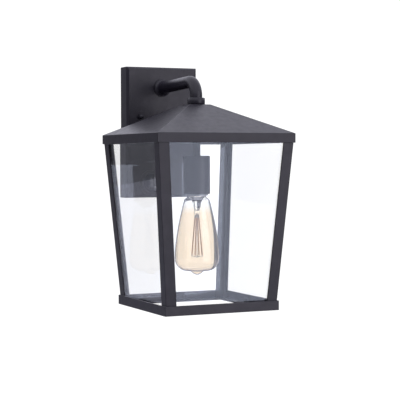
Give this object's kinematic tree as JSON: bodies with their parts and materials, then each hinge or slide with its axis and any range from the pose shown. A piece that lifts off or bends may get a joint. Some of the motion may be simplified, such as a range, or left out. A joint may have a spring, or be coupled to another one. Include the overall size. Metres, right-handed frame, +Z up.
{
  "type": "outdoor wall lantern",
  "caption": "Tapered square coach lantern with a hipped roof, hung from a gooseneck arm on a box backplate, with clear panes and a screw-in amber filament-style lamp.",
  "frame": {"origin": "middle of the mounting crossbar's two slots, on the wall plane", "axes": "+X to the right of someone facing the wall, +Y into the wall, +Z up; the lantern hangs out along -Y"},
  "size_m": [0.203, 0.2475, 0.3425],
  "materials": {
    "coated_metal": "satin powder coat",
    "zinc_steel": "zinc plated",
    "green_screw": "green dyed plating",
    "foam_gasket": "closed cell foam",
    "pane_glass": "clear polished",
    "porcelain": "glazed",
    "socket_brass": "stamped",
    "seal_rubber": "matte grey silicone",
    "lamp_cap_metal": "plated, rolled",
    "black_glass": "glossy black",
    "amber_glass": "amber tinted, clear",
    "stem_glass": "clear",
    "light_stick": "phosphor coated, unlit",
    "black_lead": "insulated wire",
    "white_lead": "insulated wire",
    "green_lead": "insulated wire",
    "connector_plastic": "moulded",
    "sensor_window": "smoked, glossy",
    "sensor_plastic": "moulded"
  },
  "bodies": {
    "root": {"backplate": "coated_metal", "wall_gasket": "foam_gasket", "crossbar": "zinc_steel", "crossbar_studs": "zinc_steel", "stud_lock_nuts": "zinc_steel", "cap_nuts": "coated_metal", "ground_screw": "green_screw", "arm": "coated_metal", "arm_nipple": "zinc_steel", "arm_lock_washer": "zinc_steel", "arm_lock_nut": "zinc_steel", "collar": "coated_metal", "stem_tube": "coated_metal", "roof_washer": "zinc_steel", "roof_lock_nut": "zinc_steel", "roof": "coated_metal", "top_frame": "coated_metal", "post_front_left": "coated_metal", "post_front_right": "coated_metal", "post_rear_left": "coated_metal", "post_rear_right": "coated_metal", "bottom_frame": "coated_metal", "glass_front": "pane_glass", "glass_rear": "pane_glass", "glass_left": "pane_glass", "glass_right": "pane_glass", "glass_clips": "coated_metal", "roof_screws": "coated_metal", "socket_cup": "coated_metal", "socket_cup_nut": "zinc_steel", "socket_strap": "zinc_steel", "socket_screws": "zinc_steel", "socket_body": "porcelain", "socket_shell": "socket_brass", "socket_contact": "socket_brass", "line_lead": "black_lead", "neutral_lead": "white_lead", "ground_lead": "green_lead", "wire_connectors": "connector_plastic", "sensor_bezel": "coated_metal", "sensor_lens": "sensor_window", "sensor_body": "sensor_plastic", "sensor_nut": "sensor_plastic"},
    "seal_ring": {"lamp_seal_ring": "seal_rubber"},
    "lamp": {"lamp_cap": "lamp_cap_metal", "lamp_insulator": "black_glass", "lamp_contact": "socket_brass", "lamp_glass": "amber_glass", "lamp_stem": "stem_glass", "lamp_supports": "zinc_steel", "lamp_filaments": "light_stick"}
  },
  "joints": [
    {"name": "lamp_turn", "type": "hinge", "parent": "root", "child": "seal_ring", "pos_m": [0, -0.146, -0.11], "axis": [0, 0, -1], "range_deg": [0, 1980]},
    {"name": "lamp_screw_out", "type": "slide", "parent": "seal_ring", "child": "lamp", "axis": [0, 0, -1], "range_m": [0, 0.0199]}
  ],
  "couplings": [
    {"joint": "lamp_turn", "follows": "lamp_screw_out", "rad_per_m": 1731.4}
  ]
}
